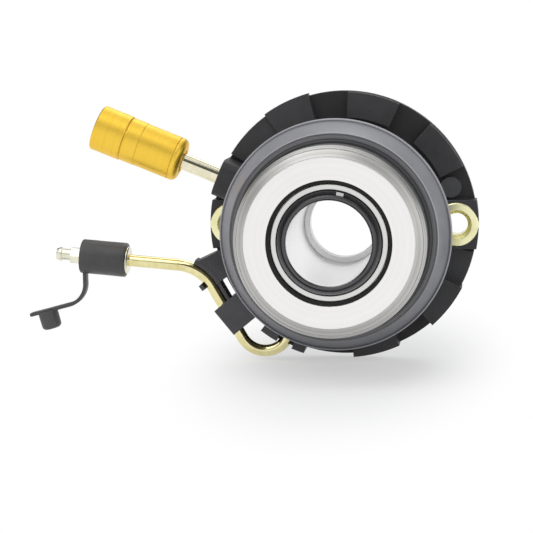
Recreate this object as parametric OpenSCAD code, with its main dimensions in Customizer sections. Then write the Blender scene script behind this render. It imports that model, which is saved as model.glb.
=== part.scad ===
// Concentric slave cylinder: a hydraulic clutch release unit that sits round a gearbox input shaft.
// Every piece is drawn with x to the right, y up and z forward from the rear mounting face,
// and in_place() then turns it so that the bore lies along Y and the bearing faces -Y.

/* [Guide sleeve] */
// Bore radius of the guide sleeve
sleeve_bore_r = 16; // [15:0.5:17.5]
// Wall of the guide sleeve
sleeve_wall = 2; // [1.6:0.1:2.6]
// Length of the guide sleeve from the rear face to its front end
sleeve_len = 72; // [70:1:82]
// How far the rear lip closes the bore
sleeve_lip = 2; // [1:0.25:3]
// Length of the rear lip
sleeve_lip_len = 6; // [4:0.5:10]
// Width of the flange at the rear of the sleeve
sleeve_flange_w = 7; // [5:0.5:8]
// Thickness of that flange
sleeve_flange_t = 3; // [2:0.25:3.5]

/* [Cylinder] */
// Radial width of the pressure chamber between sleeve and cylinder wall
chamber_w = 6; // [5:0.25:7]
// Wall of the cylinder
cylinder_wall = 3.5; // [2.5:0.25:4.5]
// Thickness of the chamber floor
floor_t = 8; // [7.5:0.25:10]
// Travel of the piston
piston_travel = 12; // [8:0.5:13]
// Height of the spring deck round the cylinder
deck_h = 21; // [20:0.5:23]
// Height of the lines' axes above the rear face
port_z = 14; // [12.5:0.25:14.5]

/* [Flange] */
// Outer radius of the flange
flange_r = 53.6; // [52:0.2:58]
// Thickness of the flange plate
flange_t = 5; // [4.5:0.25:7]
// Distance between the two bolt holes
bolt_pitch = 91; // [88:0.5:96]
// Bolt hole radius
bolt_r = 4.45; // [3.5:0.05:5]
// Wall of the bushing tube
bushing_wall = 2.05; // [1.5:0.05:2.5]
// Radius of the bushing head
bushing_head_r = 8.9; // [8.4:0.1:10]
// Thickness of the bushing head
bushing_head_t = 1.5; // [1:0.1:2.5]
// Length of the bushing
bushing_len = 10; // [8.5:0.25:12]
// Height of the raised pads above the plate
pad_h = 4; // [2:0.25:5]
// Height of the tall feet above the plate
foot_h = 10; // [7:0.5:11]

/* [Piston] */
// Wall of the piston nose that carries the bearing
nose_wall = 1.9; // [1.6:0.1:2.4]
// Length of the lip seal
seal_len = 5.5; // [4.5:0.25:6.5]
// Thickness of the open stop ring on the sleeve
stop_ring_t = 1.4; // [1:0.1:1.8]
// Gap of the open stop ring in degrees
stop_ring_gap = 10; // [8:1:14]

/* [Release bearing] */
// Outer radius of the bearing
bearing_r = 36.2; // [35.6:0.1:38]
// Inner radius of the contact face
face_in_r = 23.6; // [23.2:0.1:24]
// Width of the turned shoulder outside the contact face
face_edge = 4; // [3.4:0.1:5]
// Ball radius as a share of the room between piston nose and bearing edge
ball_share = 0.215; // [0.2:0.005:0.22]
// Depth of the ball centres inside the bearing edge, as a share of that room
circle_share = 0.472; // [0.46:0.004:0.5]
// Number of balls
ball_count = 18; // [12:1:20]
// Depth of the ball centres behind the contact face
ball_depth = 8; // [7.8:0.1:9]
// Depth of the carrier behind the ball centres
race_back = 8; // [7.5:0.25:9]
// Thickness of the bearing carrier
carrier_t = 6; // [5.5:0.25:7]

/* [Dust boot] */
// Radius of the boot's front rim
boot_r = 44.8; // [44:0.2:47]
// Wall of the boot
boot_wall = 1.2; // [0.9:0.1:1.6]
// How far the rim lies behind the carrier's back
boot_rim_back = 5; // [4:0.25:6]
// Depth of the folds from mid line to crest
boot_fold = 1.9; // [1:0.1:2.2]
// Number of folds behind the rim
boot_folds = 3; // [2:1:4]

/* [Preload spring] */
// Wire diameter of the preload spring
spring_wire = 2.6; // [2:0.1:3]
// Turns of the preload spring
spring_turns = 4.5; // [4:0.5:5]

/* [Supply line] */
// Direction of the supply line round the bore
supply_a = 158; // [155:0.5:160]
// Outer diameter of the supply tube
supply_d = 6.8; // [6:0.1:7.5]
// Wall of the supply tube
supply_wall = 1.1; // [0.8:0.1:1.5]
// Free length of tube between boss and coupling
supply_run = 16.2; // [10:0.1:30]
// Length of tube inside the boss
supply_seat = 16; // [13:0.5:17]
// Width of the supply boss
supply_boss_w = 15; // [15:0.25:17]

/* [Quick coupling] */
// Length of the coupling
coupling_len = 37.3; // [36:0.1:42]
// Radius of the coupling body
coupling_r = 8.9; // [8.6:0.1:9.4]
// Step from the body to the collar
collar_step = 0.4; // [0.3:0.1:1.5]
// Length of the collar
collar_len = 19; // [17:0.5:19.5]
// Radius of the socket bore
socket_r = 5; // [4.5:0.1:5.2]
// Opening travel of the poppet valve
poppet_travel = 3; // [2:0.25:3.5]
// Travel of the release sleeve
release_travel = 2; // [1:0.25:2.5]

/* [Bleed line] */
// Direction of the bleed port round the bore
bleed_a = 243.7; // [242:0.1:246]
// Outer diameter of the bleed tube
bleed_d = 4.8; // [4.2:0.1:5.2]
// Wall of the bleed tube
bleed_wall = 0.9; // [0.7:0.1:1.2]
// Radius of the loop under the housing
loop_r = 10.6; // [10:0.2:13]
// Heading of the run through the clip
run_a = 120; // [117:0.5:122]
// Length of the run through the clip
run_len = 24; // [22:0.5:28]
// Radius of the bend beside the housing
bend_r = 18; // [15:0.5:22]
// Heading of the run to the bleed fitting
out_a = 175; // [170:0.5:180]
// Length of the run to the bleed fitting
out_len = 21.4; // [12:0.2:40]
// Length of the rubber sleeve on the bleed fitting
cap_sleeve_len = 18.8; // [17:0.1:22]
// Outer radius of the rubber sleeve
cap_sleeve_r = 6.95; // [6.4:0.05:7.5]
// Across flats of the bleed screw's hexagon
bleed_hex = 6; // [5.5:0.1:7]
// Straight length of the strap below the rubber sleeve
strap_drop = 5; // [3:0.5:10]
// Bend radius of the strap
strap_bend = 9; // [5:0.5:12]
// Straight length of the strap from the bend to the pull tab
strap_run = 17.6; // [15:0.2:25]

/* [Fits] */
// Running clearance of sliding and turning pieces
run_c = 0.05; // [0.03:0.01:0.08]
// Clearance of pieces that are pushed together
seat_c = 0.02; // [0:0.01:0.05]
// Free gap between pieces that pass each other
free_c = 0.3; // [0.2:0.05:0.4]

/* [Hidden] */
$fn = 96;
over = 1;
touch = 0.02;

// Radii outwards from the bore
sleeve_r = sleeve_bore_r + sleeve_wall;
lip_r = sleeve_bore_r - sleeve_lip;
sleeve_flange_r = sleeve_r + sleeve_flange_w;
bore_r = sleeve_r + chamber_w;
cylinder_r = bore_r + cylinder_wall;
spring_gap = 1.1;
spring_r = cylinder_r + spring_gap + spring_wire / 2;
spring_out_r = spring_r + spring_wire / 2;
rim_gap = 0.6;
rim_in_r = spring_out_r + rim_gap;
rim_wall = 2.8;
deck_r = rim_in_r + rim_wall;
nose_r = sleeve_r + nose_wall;
face_out_r = bearing_r - face_edge;
race_room = bearing_r - nose_r;
ball_r = ball_share * race_room;
ball_circle_r = bearing_r - circle_share * race_room;

// Heights forward from the rear face
face_z = sleeve_len;
stop_ring_inset = 1.3;
stop_ring_front = face_z - stop_ring_inset;
stop_ring_back = stop_ring_front - stop_ring_t;
nose_end = stop_ring_back - free_c;
ball_z = face_z - ball_depth;
carrier_front = ball_z - race_back;
carrier_back = carrier_front - carrier_t;
end_gap = 2;
cylinder_end = carrier_back - piston_travel - end_gap;
seal_back = floor_t + piston_travel + free_c;
piston_back = seal_back + seal_len;

// Seals and grooves
oring_d = 2.6;
groove_w = 2.6;
groove_deep = 2.1;
line_groove_deep = 1.8;
line_groove_in = 2;
sleeve_oring_z = sleeve_flange_t + 0.8 + groove_w / 2;
stop_groove = 0.8;
stop_gap_at = 77;
stop_ring_lip = 1.45;

// Boot fixing on the deck rim, above the supply boss, and on the carrier
boot_bead = 0.9;
boot_bead_h = 2;
supply_top = 8.2;
tail_end = max(deck_h, port_z + supply_top) + free_c;
rim_h = 3.1;
rim_top = tail_end + rim_h;
deck_bead_z = rim_top - 1.8;
carrier_rim = 1.3;
carrier_r = bearing_r + carrier_rim;
carrier_bead_z = carrier_back + carrier_t / 2;
boot_crest = 0.9;
boot_crest_out = 1.1;
boot_crest_back = 2.9;

// Supply line, measured outwards from the bore axis
supply_r = supply_d / 2;
supply_boss_in = 0.2;
supply_face = flange_r - supply_boss_in;
supply_in = supply_face - supply_seat;
coupling_in = supply_face + supply_run;
coupling_out = coupling_in + coupling_len;
poppet_head = 2.4;
poppet_guide_len = 2;
valve_room = 1;
seat_in = 18;
seat_at = coupling_out - seat_in;
valve_back = seat_at - poppet_head - poppet_guide_len - poppet_travel - valve_room;
socket_wall = 2.9;
tube_socket = valve_back - coupling_in - socket_wall;
collar_r = coupling_r + collar_step;
collar_in = coupling_out - collar_len;

// Bleed line in the plane of the port
function dir(a) = [cos(a), sin(a)];
bleed_r = bleed_d / 2;
bleed_boss_in = 3.6;
bleed_face = flange_r - bleed_boss_in;
bleed_seat = 13;
bleed_in = bleed_face - bleed_seat;
bleed_boss_r = 6.5;
bleed_lead = 0.6;
loop_start = (bleed_face + bleed_lead) * dir(bleed_a);
loop_c = loop_start + loop_r * dir(bleed_a - 90);
run_start = loop_c + loop_r * dir(run_a + 90);
run_end = run_start + run_len * dir(run_a);
bend_c = run_end + bend_r * dir(run_a + 90);
out_start = bend_c + bend_r * dir(out_a - 90);
out_end = out_start + out_len * dir(out_a);

// Bleed fitting, measured along the run from its end
adaptor_flange_t = 0.9;
adaptor_flange_r = 5.6;
adaptor_r = cap_sleeve_r - 1.65;
adaptor_len = cap_sleeve_len - 1;
bleed_socket = 7;
screw_r = 3;
screw_seat = 10;
hex_len = 4.2;
neck_len = 3.8;
head_len = 2.1;
neck_r = 2.3;
head_r = 2.9;

// Roll pins that lock the tubes in their bosses
pin_r = 1.5;
pin_wall = 0.4;
pin_bite = 0.8;
pin_back = 2;
pin_inset = 6;
pin_len = 18;

// Pads round the rim: first angle, last angle, extra radius, height above the plate
pads = [
  [-28, -12, -0.3, pad_h - 1],
  [-48, -27.5, 0.3, foot_h],
  [-85.6, -65.1, 0.3, foot_h - 2],
  [232, 253, 0.4, foot_h + 2],
  [26, 49, -0.3, pad_h],
  [65, 87.7, -0.3, pad_h],
  [105, 125.5, 1, pad_h],
  [125, 148, 0.3, pad_h - 1.5]
];
pad_in = 9;

// Turns a drawing into the frame of the part
module in_place() {
  rotate([90, 0, 0]) children();
}

// Ring of square section
module ring(r1, r2, z1, z2) {
  rotate_extrude() translate([r1, z1]) square([r2 - r1, z2 - z1]);
}

// Part of such a ring between two angles
module sector(r1, r2, z1, z2, a1, a2) {
  rotate([0, 0, a1]) rotate_extrude(angle = a2 - a1) translate([r1, z1]) square([r2 - r1, z2 - z1]);
}

// Seal ring squeezed flat between an inner and an outer wall
module squeezed_ring(r1, r2, z, width) {
  rotate_extrude() intersection() {
    translate([(r1 + r2) / 2, z]) circle(d = width);
    translate([r1, z - width]) square([r2 - r1, 2 * width]);
  }
}

// Puts a drawing along a line that leaves the bore at an angle, with z as the distance outwards
module along_line(a) {
  rotate([0, 0, a]) translate([0, 0, port_z]) rotate([0, 90, 0]) children();
}

// Puts a drawing on the bleed run, with z as the distance past the end of the tube's free run
module on_bleed_end() {
  translate([out_end[0], out_end[1], port_z]) rotate([0, 0, out_a]) rotate([0, 90, 0]) children();
}

// Closed coil spring between two heights, as a swept round wire
module coil(mean_r, wire_r, z1, z2, turns, sides) {
  per_turn = 24;
  steps = ceil(turns * per_turn);
  low = z1 + wire_r;
  rise = z2 - z1 - 2 * wire_r;
  dead = 1;
  lift = 2.04 * wire_r * dead;
  function height(t) =
    t < dead ? lift * t / dead
    : t > turns - dead ? rise - lift * (turns - t) / dead
    : lift + (rise - 2 * lift) * (t - dead) / (turns - 2 * dead);
  points = [
    for (i = [0 : steps]) let (t = i * turns / steps)
      for (k = [0 : sides - 1]) let (w = 360 * k / sides, r = mean_r + wire_r * cos(w))
        [r * cos(360 * t), r * sin(360 * t), low + height(t) + wire_r * sin(w)]
  ];
  walls = [
    for (i = [0 : steps - 1]) for (k = [0 : sides - 1])
      let (n = (k + 1) % sides, a = i * sides, b = a + sides)
        each [[a + k, b + k, b + n], [a + k, b + n, a + n]]
  ];
  ends = [
    [for (k = [0 : sides - 1]) k],
    [for (k = [sides - 1 : -1 : 0]) steps * sides + k]
  ];
  polyhedron(points, concat(walls, ends));
}

// Unit vector across a line of points, on its left
function side(p, i) =
  let (v = p[min(i + 1, len(p) - 1)] - p[max(i - 1, 0)]) [-v[1], v[0]] / norm(v);

// Housing

module flange_plate() {
  lug_w = 2 * bushing_head_r + 2;
  lug_out = bolt_pitch / 2 + bushing_head_r;
  cylinder(r = flange_r, h = flange_t);
  intersection() {
    translate([-lug_out, -lug_w / 2, 0]) cube([2 * lug_out, lug_w, bushing_len - 0.3]);
    difference() {
      cylinder(r = flange_r + 0.7, h = bushing_len);
      translate([0, 0, -over]) cylinder(r = deck_r - 1, h = bushing_len + 2 * over);
    }
  }
}

module rim_pads() {
  plug_r = 4.2;
  plug_a = 19;
  root_step = 0.1;
  for (i = [0 : len(pads) - 1]) {
    p = pads[i];
    root = over + root_step * i;
    sector(flange_r - pad_in - root, flange_r + p[2], flange_t - root, flange_t + p[3], p[0], p[1]);
  }
  translate([(bolt_pitch / 2) * cos(plug_a), (bolt_pitch / 2) * sin(plug_a), 0])
    cylinder(r = plug_r, h = flange_t + pad_h - 1);
}

module stiffening_ribs() {
  rib_t = 2.4;
  rib_h = 6;
  rib_len = 5;
  for (a = [38, 57, 77, 97, 115, 136, 262, 284, 301, 320])
    rotate([0, 0, a]) translate([deck_r - 1, -rib_t / 2, flange_t - over])
      cube([rib_len + 1, rib_t, rib_h + over]);
}

module cylinder_body() {
  cylinder(r = deck_r, h = deck_h);
  ring(rim_in_r, deck_r, deck_h - over, rim_top);
  cylinder(r = cylinder_r, h = cylinder_end);
}

module supply_boss() {
  corner = 4.5;
  w = supply_boss_w;
  along_line(supply_a) translate([0, 0, cylinder_r])
    linear_extrude(supply_face - cylinder_r) union() {
      translate([-supply_top + corner, -w / 2]) square([port_z + supply_top - corner, w]);
      translate([-supply_top, -w / 2 + corner]) square([port_z + supply_top, w - 2 * corner]);
      for (s = [-1, 1])
        translate([-supply_top + corner, s * (w / 2 - corner)]) circle(r = corner);
    }
}

module bleed_boss() {
  along_line(bleed_a) translate([0, 0, cylinder_r])
    linear_extrude(bleed_face - cylinder_r) union() {
      circle(r = bleed_boss_r);
      translate([0, -bleed_boss_r]) square([port_z, 2 * bleed_boss_r]);
    }
}

// Clip block behind which the bleed tube snaps in from outside
clip_half = 6.2;
clip_front = 3.6;
clip_mid = 9.6;
clip_at = run_start + clip_mid * dir(run_a);
clip_a = atan2(clip_at[1], clip_at[0]);
clip_out = 2.4;
clip_root = 6;
slot_c = 0.15;

module tube_clip() {
  long = norm(clip_at) + clip_out - flange_r + clip_root;
  difference() {
    rotate([0, 0, clip_a]) translate([flange_r - clip_root, -clip_half, flange_t - over])
      cube([long, 2 * clip_half, port_z + bleed_r + clip_front - flange_t + over]);
    translate([run_start[0], run_start[1], port_z]) rotate([0, 0, run_a]) {
      translate([-over, -slot_c - bleed_r, 0]) rotate([0, 90, 0]) tube_slot();
    }
  }
}

// Slot for the tube with a round seat, open to the outside
module tube_slot() {
  wide = bleed_r + slot_c;
  translate([0, wide, 0]) cylinder(r = wide, h = run_len);
  translate([-wide, wide, 0]) cube([2 * wide, 5 * wide, run_len]);
}

// Wedge, rail and finger that guide the tube round its bend
rail_t = 1.8;
rail_front = 3;
guide_r = bend_r + bleed_r + slot_c;

module tube_guide() {
  tip_a = 66;
  back = flange_t - over;
  front = port_z + rail_front;
  root_in = 7;
  root = flange_r - root_in;
  finger_w = 1.5;
  finger_a = 33;
  finger_end = 43;
  inner_r = bend_r - bleed_r - slot_c;
  rail_mid = guide_r + rail_t / 2;
  rest = port_z - bleed_r - slot_c;
  step = 0.2;
  lap = 0.5;
  rail_run = run_len - clip_mid - clip_half + over;
  translate([0, 0, back]) linear_extrude(front - step - back) difference() {
    polygon([
      bend_c + rail_mid * dir(tip_a - 1),
      (flange_r - 2.4) * dir(191.6),
      root * dir(192.5),
      root * dir(204),
      (flange_r - 1.8) * dir(204),
      bend_c + rail_mid * dir(run_a - 90 + 1)
    ]);
    translate(bend_c) circle(r = guide_r + step);
  }
  translate([bend_c[0], bend_c[1], 0]) {
    sector(guide_r, guide_r + rail_t, rest - 2, front, run_a - 90, tip_a);
    sector(inner_r - finger_w / 2, rail_mid, rest - 3, rest, finger_a + 1, finger_end - 1);
    sector(inner_r - finger_w, inner_r, rest - 3 - step, front - step, finger_a, finger_end);
  }
  translate([run_end[0], run_end[1], 0]) rotate([0, 0, run_a + 180])
    translate([-lap, bleed_r + slot_c + step, rest - 2 + step])
      cube([rail_run + lap, rail_t - 2 * step, front - rest + 2 - 2 * step]);
}

// Pockets moulded into the rear between ribs
module rear_pockets() {
  step = 30;
  port_clear = 24;
  skin = 2;
  deck_skin = 3;
  inner_half = 10.8;
  outer_half = 12.8;
  inner_in = cylinder_r + 1.2;
  inner_out = deck_r - 1.8;
  outer_in = deck_r + 2;
  for (a = [step / 2 : step : 360])
    if (abs(a - supply_a) > port_clear && abs(a - bleed_a) > port_clear)
      sector(inner_in, inner_out, -over, deck_h - deck_skin, a - inner_half, a + inner_half);
  for (a = [45, 75, 105, 135, 255, 285, 315])
    sector(outer_in, flange_r - 3, -over, flange_t - skin, a - outer_half, a + outer_half);
}

module bolt_seats() {
  head_room = deck_h - 2;
  for (s = [-1, 1]) translate([s * bolt_pitch / 2, 0, 0]) {
    translate([0, 0, -over]) cylinder(r = bolt_r + bushing_wall, h = bushing_len + over);
    translate([0, 0, bushing_len - bushing_head_t])
      cylinder(r = bushing_head_r, h = head_room - bushing_len + bushing_head_t);
  }
}

module line_bore(a, tube_r, inner, face, passage_r) {
  along_line(a) {
    translate([0, 0, inner]) cylinder(r = tube_r + seat_c, h = face - inner + over);
    translate([0, 0, bore_r - over]) cylinder(r = passage_r, h = inner - bore_r + 2 * over);
    translate([0, 0, inner + line_groove_in]) cylinder(r = tube_r + line_groove_deep, h = groove_w);
  }
}

// Slot in the rim, open to the front, for the bleed tube on its way to the loop
module bleed_slot() {
  room = 1;
  wide = bleed_r + room;
  rotate([0, 0, bleed_a]) translate([bleed_face + 0.2, -wide, port_z - wide])
    cube([2 * loop_r, 2 * wide, foot_h + wide]);
}

// Hole across a boss for the roll pin, beside the tube
module pin_hole(a, tube_r, face) {
  rotate([0, 0, a]) translate([face - pin_inset, tube_r - pin_bite + pin_r, -over])
    cylinder(r = pin_r, h = pin_back + pin_len + over);
}

module housing() {
  color("#2d2c2e") in_place() difference() {
    union() {
      flange_plate();
      rim_pads();
      stiffening_ribs();
      cylinder_body();
      supply_boss();
      bleed_boss();
      tube_clip();
      tube_guide();
    }
    translate([0, 0, floor_t]) cylinder(r = bore_r, h = cylinder_end);
    translate([0, 0, -over]) cylinder(r = sleeve_r + seat_c, h = floor_t + 2 * over);
    translate([0, 0, -over]) cylinder(r = sleeve_flange_r + seat_c, h = sleeve_flange_t + over);
    translate([0, 0, sleeve_oring_z - groove_w / 2])
      ring(sleeve_r - over, sleeve_r + groove_deep, 0, groove_w);
    translate([0, 0, deck_bead_z - boot_bead_h / 2])
      ring(deck_r - boot_bead, deck_r + over, 0, boot_bead_h);
    ring(cylinder_r, rim_in_r, deck_h, rim_top + over);
    rear_pockets();
    bolt_seats();
    line_bore(supply_a, supply_r, supply_in, supply_face, 1.75);
    line_bore(bleed_a, bleed_r, bleed_in, bleed_face, 1.25);
    bleed_slot();
    pin_hole(supply_a, supply_r, supply_face);
    pin_hole(bleed_a, bleed_r, bleed_face);
  }
}

// Guide sleeve, stop ring and bushings

// Sleeve with a nib that keeps the open stop ring from turning
module guide_sleeve() {
  chamfer = 0.6;
  slope = 0.4;
  nib_gap = 0.7;
  nib_inset = 0.1;
  nib_half = stop_ring_gap / 2 - nib_gap;
  color("#9a9a9c") in_place() union() {
    rotate_extrude() difference() {
      polygon([
        [lip_r, 0],
        [sleeve_flange_r, 0],
        [sleeve_flange_r, sleeve_flange_t],
        [sleeve_r, sleeve_flange_t],
        [sleeve_r, sleeve_len - chamfer],
        [sleeve_r - chamfer, sleeve_len],
        [sleeve_bore_r + chamfer, sleeve_len],
        [sleeve_bore_r, sleeve_len - chamfer],
        [sleeve_bore_r, sleeve_lip_len + slope],
        [lip_r, sleeve_lip_len]
      ]);
      translate([sleeve_r - stop_groove, stop_ring_back]) square([stop_groove + over, stop_ring_t]);
    }
    sector(sleeve_r - stop_groove - nib_inset, sleeve_r + stop_ring_lip - nib_inset,
      stop_ring_back + nib_inset, stop_ring_front - nib_inset,
      stop_gap_at - nib_half, stop_gap_at + nib_half);
  }
}

module sleeve_oring() {
  color("#1c1c1c") in_place()
    squeezed_ring(sleeve_r, sleeve_r + groove_deep, sleeve_oring_z, oring_d);
}

module bushing() {
  chamfer = 0.5;
  lead_w = 0.7 * bushing_wall;
  lead_end = bushing_len - bushing_head_t;
  rotate_extrude() polygon([
    [bolt_r, 0],
    [bolt_r + bushing_wall, 0],
    [bolt_r + bushing_wall, bushing_len - bushing_head_t],
    [bushing_head_r, bushing_len - bushing_head_t],
    [bushing_head_r, bushing_len - chamfer],
    [bushing_head_r - chamfer, bushing_len],
    [bolt_r + lead_w, bushing_len],
    [bolt_r + lead_w, lead_end + 0.1],
    [bolt_r, lead_end - lead_w]
  ]);
}

module left_bushing() {
  color("#ebeabb") in_place() translate([-bolt_pitch / 2, 0, 0]) bushing();
}

module right_bushing() {
  color("#ebeabb") in_place() translate([bolt_pitch / 2, 0, 0]) bushing();
}

module piston_stop_ring() {
  color("#3a3836") in_place()
    sector(sleeve_r - stop_groove, sleeve_r + stop_ring_lip, stop_ring_back, stop_ring_front,
      stop_gap_at + stop_ring_gap / 2, stop_gap_at + 360 - stop_ring_gap / 2);
}

// Supply line

module supply_tube() {
  chamfer = 0.5;
  out = coupling_in + tube_socket;
  color("#e6e2c4") in_place() along_line(supply_a) difference() {
    translate([0, 0, supply_in]) cylinder(r = supply_r, h = out - supply_in);
    translate([0, 0, supply_in - over])
      cylinder(r = supply_r - supply_wall, h = out - supply_in + 2 * over);
    pin_groove(supply_r, supply_face);
    translate([0, 0, supply_in]) rotate_extrude()
      polygon([[supply_r - chamfer, -over], [supply_r + over, -over], [supply_r + over, chamfer + over]]);
  }
}

// Groove in a tube where its roll pin passes
module pin_groove(tube_r, face) {
  ring(tube_r - pin_bite, tube_r + over, face - pin_inset - pin_r, face - pin_inset + pin_r);
}

module line_seal(a, tube_r, inner) {
  along_line(a)
    squeezed_ring(tube_r, tube_r + line_groove_deep, inner + line_groove_in + groove_w / 2, oring_d);
}

module supply_tube_oring() {
  color("#1c1c1c") in_place() line_seal(supply_a, supply_r, supply_in);
}

// Roll pin: a split spring tube
module roll_pin(a, tube_r, face) {
  slit = 40;
  rotate([0, 0, a]) translate([face - pin_inset, tube_r - pin_bite + pin_r, 0])
    sector(pin_r - pin_wall, pin_r, pin_back, pin_back + pin_len, slit / 2, 360 - slit / 2);
}

module supply_roll_pin() {
  color("#555555") in_place() roll_pin(supply_a, supply_r, supply_face);
}

// Quick coupling, with z as the distance from the bore axis

body_neck_r = coupling_r - 1.9;
valve_r = socket_r - 0.4;
poppet_guide_r = 2;
seat_w = 1;
seat_hole_r = 2.6;
mouth_len = 7;
neck_end = coupling_out - mouth_len;
socket_seal_in = 4.5;
socket_seal_z = neck_end - socket_seal_in;
socket_seal_w = 2;
socket_seal_r = socket_r + 1.2;
mouth_r = socket_r + 1.3;
catch_d = body_neck_r - socket_r - 0.2;
mouth_back = neck_end + catch_d + free_c;

module coupling_body() {
  round_r = 2.6;
  seam = 0.5;
  seam_at = coupling_in + round_r + seam;
  face_r = supply_r + 1.4;
  color("#f6cf48") in_place() along_line(supply_a) difference() {
    rotate_extrude() difference() {
      union() {
        translate([0, coupling_in + round_r]) square([coupling_r, collar_in - coupling_in - round_r]);
        translate([0, coupling_in]) square([coupling_r - round_r, round_r + seam]);
        intersection() {
          translate([coupling_r - round_r, coupling_in + round_r]) circle(r = round_r);
          translate([0, coupling_in]) square([coupling_r, round_r + seam]);
        }
        translate([0, collar_in - over]) square([body_neck_r, neck_end - collar_in + over]);
      }
      translate([coupling_r - seam, seam_at]) square([seam + over, seam]);
      translate([0, coupling_in - over]) square([face_r, over + seam]);
    }
    translate([0, 0, coupling_in - over]) cylinder(r = supply_r + seat_c, h = tube_socket + over);
    translate([0, 0, coupling_in]) cylinder(r = supply_r - supply_wall, h = tube_socket + over * 2);
    translate([0, 0, valve_back]) cylinder(r = valve_r, h = seat_at - valve_back);
    translate([0, 0, seat_at - over]) cylinder(r = seat_hole_r, h = seat_w + 2 * over);
    translate([0, 0, seat_at + seat_w]) cylinder(r = socket_r, h = coupling_len);
    translate([0, 0, socket_seal_z]) ring(socket_r - over, socket_seal_r, 0, socket_seal_w);
  }
}

module coupling_collar() {
  chamfer = 0.5;
  seam = 0.35;
  first = collar_in + 6.3;
  waist_r = coupling_r + collar_step / 3;
  color("#f6cf48") in_place() along_line(supply_a) rotate_extrude() difference() {
    polygon([
      [body_neck_r + seat_c, collar_in],
      [waist_r, collar_in],
      [waist_r, first],
      [collar_r, first + seam],
      [collar_r, coupling_out - chamfer],
      [collar_r - chamfer, coupling_out],
      [mouth_r + run_c, coupling_out],
      [mouth_r + run_c, mouth_back],
      [body_neck_r + seat_c, mouth_back]
    ]);
    translate([waist_r - seam, first - seam]) square([collar_step + over, seam]);
  }
}

// Sleeve in the mouth that is pushed in to let the plug go
module coupling_release_sleeve() {
  wall = 1;
  front = coupling_out - free_c;
  back = mouth_back + release_travel + free_c;
  color("#dcdcd8") in_place() along_line(supply_a) rotate_extrude() polygon([
    [mouth_r - wall, back],
    [mouth_r, back + 0.5],
    [mouth_r, front],
    [mouth_r - wall, front]
  ]);
}

module coupling_retaining_ring() {
  color("#8a8a86") in_place() along_line(supply_a) rotate_extrude(angle = 345)
    translate([body_neck_r - catch_d / 2, neck_end + catch_d / 2]) circle(d = catch_d, $fn = 24);
}

module coupling_seal() {
  color("#1c1c1c") in_place() along_line(supply_a)
    squeezed_ring(socket_r, socket_seal_r, socket_seal_z + socket_seal_w / 2, socket_seal_w);
}

// Valve head that closes against the seat from behind, with a stem towards the plug
module coupling_poppet() {
  stem_r = 1.6;
  cone = 0.6;
  head_front = seat_at - run_c;
  head_back = head_front - poppet_head;
  head_r = valve_r - 2 * free_c;
  color("#c8c8c4") in_place() along_line(supply_a) rotate_extrude() polygon([
    [0, head_back - poppet_guide_len],
    [poppet_guide_r, head_back - poppet_guide_len],
    [poppet_guide_r, head_back],
    [head_r, head_back],
    [head_r, head_front],
    [seat_hole_r - free_c, head_front],
    [stem_r, head_front + cone],
    [stem_r, head_front + seat_w],
    [0, head_front + seat_w]
  ]);
}

module coupling_spring() {
  wire = 0.35;
  poppet_back = seat_at - run_c - poppet_head;
  color("#b8b8b8") in_place() along_line(supply_a)
    coil(poppet_guide_r + 2 * wire + free_c, wire, valve_back + touch, poppet_back - touch, 4, 6);
}

// Bleed line

// Bend of a bar about a centre, from one angle through a sweep
module bar_bend(r, centre, radius, first, sweep) {
  translate([centre[0], centre[1], port_z]) rotate([0, 0, first])
    rotate_extrude(angle = sweep) translate([radius, 0]) circle(r = r);
}

// Straight bar from a point along a heading
module bar_straight(r, from, heading, long) {
  translate([from[0], from[1], port_z]) rotate([0, 0, heading]) rotate([90, 0, 90])
    linear_extrude(long) circle(r = r);
}

// Faint ring that the bending die leaves where a bend starts
module die_mark(r, at, heading) {
  proud = 0.03;
  wide = 0.4;
  bar_straight(r + proud, at - wide / 2 * dir(heading), heading, wide);
}

// Whole course of the bleed line as a bar
module bleed_course(r) {
  bar_straight(r, bleed_in * dir(bleed_a), bleed_a, bleed_face + bleed_lead - bleed_in);
  bar_bend(r, loop_c, loop_r, run_a + 90, bleed_a - run_a);
  bar_straight(r, run_start, run_a, run_len);
  bar_bend(r, bend_c, bend_r, run_a - 90, out_a - run_a);
  bar_straight(r, out_start, out_a, out_len + bleed_socket);
  die_mark(r, loop_start, bleed_a);
  die_mark(r, run_start, run_a);
  die_mark(r, run_end, run_a);
  die_mark(r, out_start, out_a);
}

module bleed_tube() {
  color("#e2deb4") in_place() difference() {
    bleed_course(bleed_r);
    bleed_course(bleed_r - bleed_wall);
    along_line(bleed_a) pin_groove(bleed_r, bleed_face);
  }
}

module bleed_tube_oring() {
  color("#1c1c1c") in_place() line_seal(bleed_a, bleed_r, bleed_in);
}

module bleed_roll_pin() {
  color("#555555") in_place() roll_pin(bleed_a, bleed_r, bleed_face);
}

module bleed_adaptor() {
  passage = 1;
  chamfer = 0.4;
  color("#d8d4b8") in_place() on_bleed_end() difference() {
    rotate_extrude() polygon([
      [0, -adaptor_flange_t],
      [adaptor_flange_r - chamfer, -adaptor_flange_t],
      [adaptor_flange_r, chamfer - adaptor_flange_t],
      [adaptor_flange_r, 0],
      [adaptor_r, 0],
      [adaptor_r, adaptor_len],
      [0, adaptor_len]
    ]);
    translate([0, 0, -over - adaptor_flange_t])
      cylinder(r = bleed_r + seat_c, h = bleed_socket + over + adaptor_flange_t);
    cylinder(r = passage, h = screw_seat);
    translate([0, 0, screw_seat]) cylinder(r = screw_r + run_c, h = adaptor_len);
  }
}

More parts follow.
